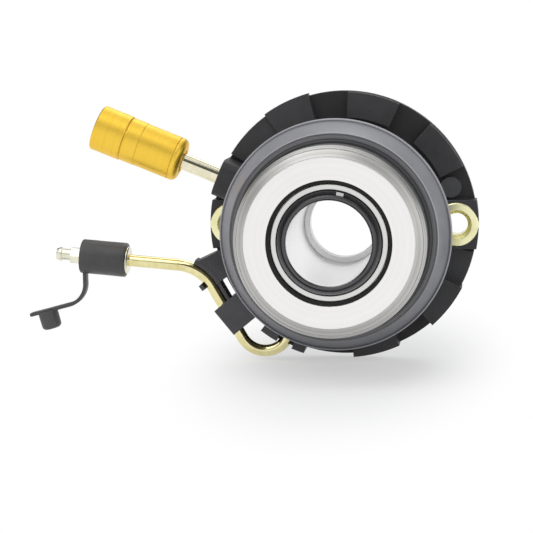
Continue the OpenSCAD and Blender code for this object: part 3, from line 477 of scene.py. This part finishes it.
def boot_rubber():
    """Boot: pale bloom on the outer slope, painted shade on its lower side and in the hollow inside the
    crest, painted highlight on the crest line and the rim bead.
    """
    made, tree, shader, place = finish("boot rubber", specular=0.45)
    skin = use(tree, MOULDED, Vector=place, Grain=2400.0, Cloud=45.0)
    patch = use(tree, HANDLED, Vector=place, Size=55.0)
    broad = use(tree, HANDLED, Vector=place, Size=26.0)
    rings = use(tree, TURNED, Vector=place, Lines=2600.0)
    radius, depth = rings["Radius"], rings["Depth"]
    _, _, height = parts(tree, place)
    # Painted shade: the boot darkens towards its lower side, where less light falls, with a ragged edge.
    ragged = -0.02
    shaded_below = ramp(tree, calc(tree, "MULTIPLY_ADD", broad["Mask"], ragged, height), *BOOT_SHADED_HEIGHT)
    bloom = tones(tree, skin["Tone"], (0.34, (0.27, 0.27, 0.29)), (0.66, (0.34, 0.34, 0.365)))
    bloom = laid_over(tree, bloom, shaded_below, (0.135, 0.136, 0.148), strength=0.85)
    # Painted shade: the hollow band between the bearing and the crest darkens towards the bearing.
    across = calc(tree, "DIVIDE", calc(tree, "SUBTRACT", radius, BAND_R), BAND_WIDTH, clamp=True)
    band = tones(
        tree, across,
        (0.0, (0.075, 0.075, 0.079)), (0.45, (0.16, 0.16, 0.168)), (0.95, (0.27, 0.27, 0.282)),
    )
    inside = times(tree, ramp(tree, radius, *BOOT_INSIDE_R), ramp(tree, depth, *BOOT_FRONT_Z))
    base = blend_colour(tree, inside, bloom, band)
    # Painted highlight: the crest line is paler, most towards the upper right, where light falls.
    crest = times(tree, ramp(tree, depth, *BOOT_CREST_Z), ramp(tree, radius, *BOOT_CREST_R))
    lit = ramp(tree, dot(tree, place, UPPER_RIGHT), *BOOT_CREST_HIGHLIGHT_REACH)
    crest_highlight = tones(tree, lit, (0.0, (0.2, 0.2, 0.21)), (1.0, (0.44, 0.44, 0.46)))
    base = blend_colour(tree, crest, base, crest_highlight)
    # Painted highlight: a pale line along the rim bead.
    lip = times(tree, ramp(tree, depth, *BOOT_LIP_Z), ramp(tree, radius, *BOOT_LIP_R))
    base = laid_over(tree, base, lip, (0.4, 0.4, 0.42), strength=0.7)
    rough = uneven(tree, patch["Mask"], least=0.42, more=0.1)
    dress(tree, shader, base, rough, bump(tree, skin["Height"], strength=0.1, distance=0.0001))
    return made


def stop_ring_steel():
    """Black oxide ring, dished towards the bore, with painted light making its lower half paler."""
    made, tree, shader, place = finish("stop ring steel")
    tool = use(tree, TURNED, Vector=place, Lines=4200.0)
    rim = use(tree, SOFT_EDGE, Radius=0.00018)
    _, _, height = parts(tree, place)
    # Painted light: the lower half of the ring is paler, where the light from above falls on it.
    lit_lower_half = ramp(tree, height, *RING_LIT_HEIGHT)
    base = tones(tree, tool["Tone"], (0.34, (0.055, 0.055, 0.057)), (0.66, (0.105, 0.105, 0.108)))
    base = laid_over(tree, base, lit_lower_half, (0.27, 0.27, 0.275))
    rough = uneven(tree, tool["Tone"], least=0.36, more=0.1)
    tool_depth = 0.02
    dish = calc(tree, "MULTIPLY_ADD", tool["Height"], tool_depth, tool["Radius"])
    normal = bump(tree, dish, strength=1.0, distance=0.0009, normal=rim["Normal"])
    dress(tree, shader, base, rough, normal)
    return made


def sleeve_finish():
    """Guide sleeve: bright ground bore, grey turned back flange, dark coated front end, bright nib."""
    made, tree, shader, place = finish("guide sleeve steel", metallic=1.0)
    tool = use(tree, TURNED, Vector=place, Lines=3600.0)
    rim = use(tree, SOFT_EDGE, Radius=0.00025)
    radius, depth = tool["Radius"], tool["Depth"]
    ground = tones(tree, tool["Tone"], (0.3, (0.86, 0.86, 0.86)), (0.7, (0.95, 0.95, 0.95)))
    coated = tones(tree, tool["Tone"], (0.34, (0.055, 0.055, 0.058)), (0.66, (0.12, 0.12, 0.125)))
    turned = tones(tree, tool["Tone"], (0.34, (0.27, 0.27, 0.275)), (0.66, (0.45, 0.45, 0.455)))
    grey_in_bore, bright_on_nib = 0.4, 0.55
    flange = ramp(tree, radius, *SLEEVE_FLANGE_R)
    flange = calc(tree, "MULTIPLY_ADD", flange, 1 - grey_in_bore, grey_in_bore)
    back = times(tree, ramp(tree, depth, *SLEEVE_BACK_Z), flange)
    front = times(tree, ramp(tree, radius, *SLEEVE_OUTSIDE_R), ramp(tree, depth, *SLEEVE_FRONT_Z))
    nib = ramp(tree, radius, *SLEEVE_NIB_R)
    front = times(tree, front, calc(tree, "MULTIPLY_ADD", nib, -bright_on_nib, 1.0))
    base = blend_colour(tree, back, ground, turned)
    base = blend_colour(tree, front, base, coated)
    rough = uneven(tree, tool["Tone"], least=0.2, more=0.1)
    rough = uneven(tree, back, least=rough, more=0.14)
    normal = bump(tree, tool["Height"], strength=0.1, distance=0.00006, normal=rim["Normal"])
    dress(tree, shader, base, rough, normal)
    return made


HOUSING_NYLON = housing_nylon()
PISTON_NYLON = moulded_nylon(
    "piston nylon", (0.010, 0.010, 0.0105), (0.020, 0.020, 0.021), worn=(0.12, 0.12, 0.125),
)
CARRIER_NYLON = moulded_nylon(
    "carrier nylon", (0.042, 0.042, 0.045), (0.062, 0.062, 0.066), worn=(0.085, 0.085, 0.09),
)
BEARING_STEEL = bearing_race_steel()
RACE_STEEL = turned_steel("inner race steel", (0.62, 0.615, 0.60), (0.77, 0.765, 0.75), 0.26)
BALL_STEEL = turned_steel(
    "ball steel", (0.70, 0.70, 0.70), (0.82, 0.82, 0.82), 0.12, lines=900.0, relief=0.02,
)
RING_STEEL = stop_ring_steel()
SHIELD_STEEL = turned_steel("rear shield steel", (0.16, 0.16, 0.165), (0.28, 0.28, 0.285), 0.36)
SPRING_STEEL = turned_steel("spring steel", (0.18, 0.18, 0.185), (0.3, 0.3, 0.31), 0.36)
PIN_STEEL = turned_steel("roll pin steel", (0.12, 0.12, 0.125), (0.22, 0.22, 0.225), 0.4)
CAGE_BRASS = turned_steel("cage brass", (0.50, 0.33, 0.10), (0.62, 0.42, 0.15), 0.3)
SLEEVE_STEEL = sleeve_finish()
SUPPLY_ZINC = plated_zinc(
    "supply tube zinc", (0.74, 0.69, 0.50), (0.88, 0.84, 0.66), 0.07, line=SUPPLY_FRAME,
)
BLEED_ZINC = plated_zinc("bleed tube zinc", (0.68, 0.60, 0.29), (0.87, 0.80, 0.45), 0.07)
FITTING_ZINC = plated_zinc(
    "bleed fitting zinc", (0.76, 0.73, 0.58), (0.89, 0.87, 0.74), 0.26, line=BLEED_FRAME,
)
BUSH_ZINC = plated_zinc("bushing zinc", (0.85, 0.81, 0.46), (0.94, 0.91, 0.58), 0.24)
GOLD = gold_anodised()
COUPLING_STEEL = turned_steel(
    "coupling steel", (0.50, 0.49, 0.46), (0.66, 0.65, 0.62), 0.3, line=SUPPLY_FRAME,
)
BLACK_RUBBER = soft_rubber("black rubber", (0.006, 0.006, 0.006), (0.012, 0.012, 0.012), 0.5)
CAP_RUBBER = soft_rubber("cap rubber", (0.068, 0.067, 0.068), (0.096, 0.095, 0.096), 0.36)
BOOT = boot_rubber()

NODE_FINISHES = {
    "housing": HOUSING_NYLON,
    "guide_sleeve": SLEEVE_STEEL,
    "sleeve_oring": BLACK_RUBBER,
    "left_bushing": BUSH_ZINC,
    "right_bushing": BUSH_ZINC,
    "supply_tube": SUPPLY_ZINC,
    "supply_tube_oring": BLACK_RUBBER,
    "supply_roll_pin": PIN_STEEL,
    "bleed_tube": BLEED_ZINC,
    "bleed_tube_oring": BLACK_RUBBER,
    "bleed_roll_pin": PIN_STEEL,
    "bleed_adaptor": FITTING_ZINC,
    "bleed_screw": FITTING_ZINC,
    "bleed_dust_cap": CAP_RUBBER,
    "coupling_body": GOLD,
    "coupling_collar": GOLD,
    "coupling_release_sleeve": COUPLING_STEEL,
    "coupling_retaining_ring": COUPLING_STEEL,
    "coupling_seal": BLACK_RUBBER,
    "coupling_poppet": COUPLING_STEEL,
    "coupling_spring": SPRING_STEEL,
    "piston_stop_ring": RING_STEEL,
    "preload_spring": SPRING_STEEL,
    "dust_boot": BOOT,
    "piston": PISTON_NYLON,
    "piston_seal": BLACK_RUBBER,
    "bearing_carrier": CARRIER_NYLON,
    "bearing_inner_race": RACE_STEEL,
    "bearing_retainer": PIN_STEEL,
    "bearing_outer_race": BEARING_STEEL,
    "bearing_front_seal": BLACK_RUBBER,
    "bearing_rear_shield": SHIELD_STEEL,
    "bearing_cage": CAGE_BRASS,
    "bearing_balls": BALL_STEEL,
}


def wear_finish(piece, made):
    piece.data.materials.clear()
    piece.data.materials.append(made)


for node_name, node_finish in NODE_FINISHES.items():
    wear_finish(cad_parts[node_name], node_finish)


# Modelling helpers

MERGE_GAP = 1e-6
COIL_STEPS_A_TURN = 40


def nothing_selected():
    bpy.ops.object.select_all(action="DESELECT")


def only(piece):
    """Select one piece and make it the active one."""
    nothing_selected()
    piece.select_set(True)
    bpy.context.view_layer.objects.active = piece


def drawn_line(name, points):
    """A line of vertices drawn point by point, left in edit mode."""
    nothing_selected()
    bpy.ops.mesh.primitive_plane_add(size=MM, location=(0, 0, 0))
    piece = bpy.context.object
    piece.name = name
    bpy.ops.object.mode_set(mode="EDIT")
    bpy.ops.mesh.select_all(action="SELECT")
    bpy.ops.mesh.merge(type="CENTER")
    bpy.ops.transform.translate(value=points[0])
    for here, there in zip(points, points[1:]):
        bpy.ops.mesh.extrude_vertices_move(TRANSFORM_OT_translate={"value": there - here})
    return piece


def spun(name, profile, base, axis, side, steps):
    """A piece of revolution from a profile of radius and distance along the axis, in millimetres."""
    points = [base + axis * (t * MM) + side * (r * MM) for r, t in profile]
    piece = drawn_line(name, points)
    bpy.ops.mesh.select_all(action="SELECT")
    bpy.ops.mesh.spin(steps=steps, angle=2 * pi, center=base, axis=axis)
    bpy.ops.mesh.select_all(action="SELECT")
    bpy.ops.mesh.remove_doubles(threshold=MERGE_GAP)
    bpy.ops.mesh.normals_make_consistent(inside=False)
    bpy.ops.object.mode_set(mode="OBJECT")
    return piece


def changed(piece, kind, **settings):
    """A modifier on the piece, applied."""
    modifier = piece.modifiers.new(kind.lower(), kind)
    for key, value in settings.items():
        setattr(modifier, key, value)
    bpy.context.view_layer.objects.active = piece
    bpy.ops.object.modifier_apply(modifier=modifier.name)


def smooth(piece, angle):
    only(piece)
    bpy.ops.object.shade_smooth_by_angle(angle=radians(angle))


def moulded_together(first, *others):
    """One closed skin from pieces that run into each other."""
    for other in others:
        changed(first, "BOOLEAN", operation="UNION", solver="EXACT", object=other)
    nothing_selected()
    for other in others:
        other.select_set(True)
    bpy.ops.object.delete()
    only(first)
    bpy.ops.object.mode_set(mode="EDIT")
    bpy.ops.mesh.select_all(action="SELECT")
    bpy.ops.mesh.remove_doubles(threshold=MERGE_GAP)
    bpy.ops.object.mode_set(mode="OBJECT")
    return first


def arc(centre, radius, first, last, count):
    """Points on an arc of a profile, in millimetres and degrees."""
    step = (last - first) / (count - 1)
    turns = [radians(first + step * i) for i in range(count)]
    return [(centre[0] + radius * cos(turn), centre[1] + radius * sin(turn)) for turn in turns]


# Rubber bellows

def boot_bellows():
    """Cuff on the carrier, hollow band, crest, slope with a beaded rim, folds and tail: one closed wall."""
    rim_r, rim_z = 44.2, 45.0
    tail_r, tail_z = 35.22, 26.6
    fold, folds, fold_steps = 1.9, 3.5, 70
    wall, skin = 1.1, 0.6
    cuff = [
        (37.56, 54.2), (37.58, 54.85), (37.68, 55.0), (37.82, 54.98), (37.95, 54.82), (38.1, 54.5),
        (38.3, 54.15), (38.55, 53.88), (38.85, 53.78), (39.12, 53.86), (39.35, 54.04), (39.54, 54.2),
    ]
    slope = [
        (39.72, 54.24), (39.88, 54.14), (39.98, 53.94), (40.04, 53.66), (40.2, 53.2), (40.6, 52.3),
        (41.2, 51.1), (41.9, 49.85), (42.6, 48.7), (43.2, 47.78), (43.5, 47.3),
    ]
    rim = [
        (43.62, 46.98), (43.7, 46.7), (43.84, 46.6), (43.98, 46.66), (44.08, 46.84), (44.2, 47.0),
        (44.38, 47.05), (44.58, 46.95), (44.72, 46.68), (44.8, 46.3), (44.8, 45.2),
    ]
    back = []
    for i in range(fold_steps + 1):
        u = i / fold_steps
        mean = rim_r - fold + (tail_r - rim_r + 2 * fold) * u
        wave = cos(2 * pi * folds * u)
        back.append((mean + fold * wave + skin, rim_z + (tail_z - rim_z) * u))
    tail = [(35.82, 25.6), (35.95, 24.4), (36.05, 23.4), (35.95, 22.75), (35.7, 22.55)]
    lining = [(r - wall, z) for r, z in reversed(back + tail)]
    under = [
        (43.5, 45.5), (43.0, 46.15), (42.45, 46.95), (41.75, 48.15), (40.9, 49.7), (40.1, 51.2),
        (39.5, 52.3), (39.1, 52.7), (38.6, 52.8), (38.1, 52.9), (37.72, 53.2), (37.58, 53.6), cuff[0],
    ]
    profile = cuff + slope + rim + back + tail + lining + under
    piece = spun("boot_bellows", profile, Vector(), AXIS, SIDE, steps=144)
    smooth(piece, angle=55)
    wear_finish(piece, BOOT)
    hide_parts("dust_boot")
    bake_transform(piece)


# Coil springs

def coil(name, mean_r, wire_r, first, last, turns, sides):
    """A coil round the bore axis, from its first to its last height in millimetres."""
    nothing_selected()
    wire_place = (mean_r * MM, -(first + wire_r) * MM, 0)
    bpy.ops.mesh.primitive_circle_add(vertices=sides, radius=wire_r * MM, location=wire_place)
    piece = bpy.context.object
    piece.name = name
    bpy.ops.object.transform_apply(location=True, rotation=True, scale=True)
    rise = (last - first - 2 * wire_r) * MM
    steps = int(turns * COIL_STEPS_A_TURN)
    changed(
        piece, "SCREW", axis="Y", angle=2 * pi * turns, screw_offset=-rise, steps=steps,
        render_steps=steps, use_merge_vertices=False,
    )
    bpy.ops.object.mode_set(mode="EDIT")
    bpy.ops.mesh.select_all(action="SELECT")
    bpy.ops.mesh.fill_holes(sides=0)
    bpy.ops.mesh.select_all(action="SELECT")
    bpy.ops.mesh.normals_make_consistent(inside=False)
    bpy.ops.object.mode_set(mode="OBJECT")
    return piece


def preload_coil():
    piece = coil("preload_coil", mean_r=29.9, wire_r=1.3, first=21.02, last=49.98, turns=4.5, sides=14)
    smooth(piece, angle=50)
    wear_finish(piece, SPRING_STEEL)
    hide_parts("preload_spring")
    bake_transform(piece)


def valve_coil():
    line = heading(SUPPLY_A)
    piece = coil("valve_coil", mean_r=3.0, wire_r=0.35, first=80.52, last=86.43, turns=4, sides=10)
    piece.location = SUPPLY_FOOT
    piece.rotation_euler = AXIS.rotation_difference(line).to_euler()
    only(piece)
    bpy.ops.object.transform_apply(location=True, rotation=True, scale=True)
    smooth(piece, angle=50)
    wear_finish(piece, SPRING_STEEL)
    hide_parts("coupling_spring")
    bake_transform(piece)


# Front seal of the bearing

def seal_lip():
    profile = [
        (22.15, 69.45), (22.1, 69.8), (22.12, 70.3), (22.3, 70.62), (22.6, 70.72), (22.95, 70.66),
        (23.2, 70.8), (23.45, 71.02), (23.58, 71.05), (23.58, 69.25), (22.5, 69.3), (22.15, 69.45),
    ]
    piece = spun("seal_lip", profile, Vector(), AXIS, SIDE, steps=128)
    smooth(piece, angle=50)
    wear_finish(piece, BLACK_RUBBER)
    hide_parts("bearing_front_seal")
    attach(piece, "rotor")


# Rubber dust cap of the bleed screw: sleeve, strap, cup and pull tab

STRAP_RUN_A = -165


def cap_sleeve():
    profile = (
        [(5.35, 0.35), (5.7, 0.1), (6.4, 0.06)]
        + arc((6.45, 0.55), 0.5, -80, 0, 5)
        + [(7.0, 2.2), (6.96, 6.0), (6.94, 10.0), (6.98, 14.0), (6.95, 17.1)]
        + arc((6.4, 18.23), 0.55, 0, 90, 7)
        + [(5.2, 18.78), (4.5, 18.7), (4.15, 18.4), (4.12, 17.82), (5.33, 17.8), (5.32, 8.0), (5.35, 0.35)]
    )
    return spun("bleed_cap", profile, BLEED_END, heading(BLEED_OUT_A), heading(BLEED_OUT_A - 90), steps=80)


def cap_strap():
    """The strap with its pull tab, and the x and y of the end of its bend."""
    strap_x, strap_w, thick, edge = -105.974, 4.5, 1.5, 0.45
    bend_r, bend_y, bend_a = 9.0, -24.2, -75
    path = [(strap_x, y) for y in (-18.7, -20.5, -22.5)]
    path += arc((strap_x - bend_r, bend_y), bend_r, 0, bend_a, 16)
    bend_end = path[-1]
    run = heading(STRAP_RUN_A)
    tab_marks = (2.4, 4.8, 7.2, 9.6, 12.0, 14.6, 16.6, 17.4)
    path += [(bend_end[0] + run.x * d, bend_end[1] + run.z * d) for d in tab_marks]
    strap = drawn_line("cap_strap", [at(x, y, PORT_Z + strap_w / 2) for x, y in path])
    bpy.ops.mesh.select_all(action="SELECT")
    bpy.ops.mesh.extrude_edges_move(TRANSFORM_OT_translate={"value": at(0, 0, -strap_w)})
    bpy.ops.object.mode_set(mode="OBJECT")
    changed(strap, "SOLIDIFY", thickness=thick * MM, offset=0)
    changed(strap, "BEVEL", width=edge * MM, segments=3, limit_method="ANGLE", angle_limit=radians(50))
    return strap, bend_end


def cap_cup(bend_end):
    cup_along = 10.1
    run = heading(STRAP_RUN_A)
    base = at(bend_end[0] + run.x * cup_along, bend_end[1] + run.z * cup_along, PORT_Z)
    profile = (
        [(0.0, 6.2), (2.2, 6.1), (2.8, 5.6), (2.85, 0.2), (3.1, 0.0)]
        + [(3.9, 0.05), (4.08, 0.5), (4.12, 2.0), (4.06, 5.9)]
        + arc((2.4, 6.05), 1.65, 5, 78, 7)
        + [(1.6, 7.76), (0.0, 7.8)]
    )
    return spun("cap_cup", profile, base, heading(STRAP_RUN_A + 90), heading(STRAP_RUN_A + 180), steps=56)


def bleed_cap():
    sleeve = cap_sleeve()
    strap, bend_end = cap_strap()
    piece = moulded_together(sleeve, strap, cap_cup(bend_end))
    smooth(piece, angle=45)
    wear_finish(piece, CAP_RUBBER)
    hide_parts("bleed_dust_cap")
    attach(piece, "housing")


boot_bellows()
preload_coil()
valve_coil()
seal_lip()
bleed_cap()


# Floor and light, in metres

FLOOR_SIZE, FLOOR_HEIGHT = 8, -0.0555
FLOOR_FADE = (0.05, 0.15)
FADE_SHAPE = (2.0, 0.8, 1.0)
WHITE_UNDER_BORE = 0.5

# Dark gap in the tent and dark card on its right, as parts of a direction to the side and up
GAP_FOOT, GAP_TOP = (0.24, 0.34), (0.82, 0.72)
CARD_NEAR, CARD_FAR = (0.12, 0.2), (0.46, 0.4)
CARD_FOOT, CARD_TOP = (0.6, 0.7), (0.95, 0.9)
CARD_SHARE = 0.85

LIT_POINT = Vector((0, -0.03, 0))
SOFTBOXES = (
    ("key_softbox", (-0.5, -0.6, 1.0), 1.3, 6.4),
    ("fill_softbox", (0.8, -0.7, 0.45), 0.8, 2.2),
    ("back_softbox", (0.1, 0.8, 0.8), 0.7, 2.5),
)


def seen_rays(tree):
    """Masks of the rays that show a surface to the eye, and of the mirrored ones alone."""
    light = add(tree, "ShaderNodeLightPath").outputs
    seen = calc(tree, "MAXIMUM", light["Is Camera Ray"], light["Is Glossy Ray"])
    seen = calc(tree, "MAXIMUM", seen, light["Is Transmission Ray"])
    return seen, light["Is Glossy Ray"]


def mixed_into(tree, out, factor, first, second):
    """Two shaders mixed into the first socket of an output."""
    links = [(0, factor), (1, first.outputs[0]), (2, second.outputs[0])]
    feed(tree, out.inputs[0], add(tree, "ShaderNodeMixShader", links).outputs[0])


def floor_finish():
    """Pale floor that keeps the shadow under the bore and fades to white away from it."""
    made = bpy.data.materials.new("studio floor")
    made.use_nodes = True
    tree = made.node_tree
    tree.nodes.clear()
    out = add(tree, "ShaderNodeOutputMaterial")
    place = add(tree, "ShaderNodeTexCoord").outputs["Object"]
    shaped = add(tree, "ShaderNodeVectorMath", [(0, place), (1, FADE_SHAPE)], operation="MULTIPLY")
    far = add(tree, "ShaderNodeVectorMath", [(0, shaped.outputs[0])], operation="LENGTH").outputs["Value"]
    seen, _ = seen_rays(tree)
    matt = add(tree, "ShaderNodeBsdfDiffuse", [("Color", (0.86, 0.86, 0.865, 1))])
    white = add(tree, "ShaderNodeEmission", [("Color", (1, 1, 1, 1)), ("Strength", 1.0)])
    faded = ramp(tree, far, *FLOOR_FADE)
    faded = calc(tree, "MULTIPLY_ADD", faded, 1 - WHITE_UNDER_BORE, WHITE_UNDER_BORE)
    mixed_into(tree, out, times(tree, faded, seen), matt, white)
    return made


def studio_floor():
    nothing_selected()
    bpy.ops.mesh.primitive_plane_add(size=FLOOR_SIZE, location=(0, 0, FLOOR_HEIGHT))
    floor = bpy.context.object
    floor.name = "floor"
    wear_finish(floor, floor_finish())


def white_tent():
    """White all round, with a dark gap and a dark card that only mirrored rays meet."""
    world = bpy.data.worlds.new("studio")
    bpy.context.scene.world = world
    world.use_nodes = True
    tree = world.node_tree
    tree.nodes.clear()
    out = add(tree, "ShaderNodeOutputWorld")
    seen, mirrored = seen_rays(tree)
    aside, _, lift = parts(tree, add(tree, "ShaderNodeTexCoord").outputs["Generated"])
    gap = times(tree, ramp(tree, lift, *GAP_FOOT), ramp(tree, lift, *GAP_TOP))
    card_width = times(tree, ramp(tree, aside, *CARD_NEAR), ramp(tree, aside, *CARD_FAR))
    card_height = times(tree, ramp(tree, lift, *CARD_FOOT), ramp(tree, lift, *CARD_TOP))
    card = times(tree, times(tree, card_width, card_height), CARD_SHARE)
    dark = times(tree, calc(tree, "MAXIMUM", gap, card), mirrored)
    tent = blend_colour(tree, dark, (1, 1, 1, 1), (0.1, 0.1, 0.1, 1))
    fill = add(tree, "ShaderNodeBackground", [("Color", (0.97, 0.985, 1, 1)), ("Strength", 0.5)])
    white = add(tree, "ShaderNodeBackground", [("Color", tent), ("Strength", 1.0)])
    mixed_into(tree, out, seen, fill, white)


def softboxes():
    for name, place, size, power in SOFTBOXES:
        data = bpy.data.lights.new(name, "AREA")
        data.size = size
        data.energy = power
        lamp = bpy.data.objects.new(name, data)
        lamp.location = place
        lamp.rotation_euler = (LIT_POINT - Vector(place)).to_track_quat("-Z", "Y").to_euler()
        bpy.context.scene.collection.objects.link(lamp)


studio_floor()
white_tent()
softboxes()
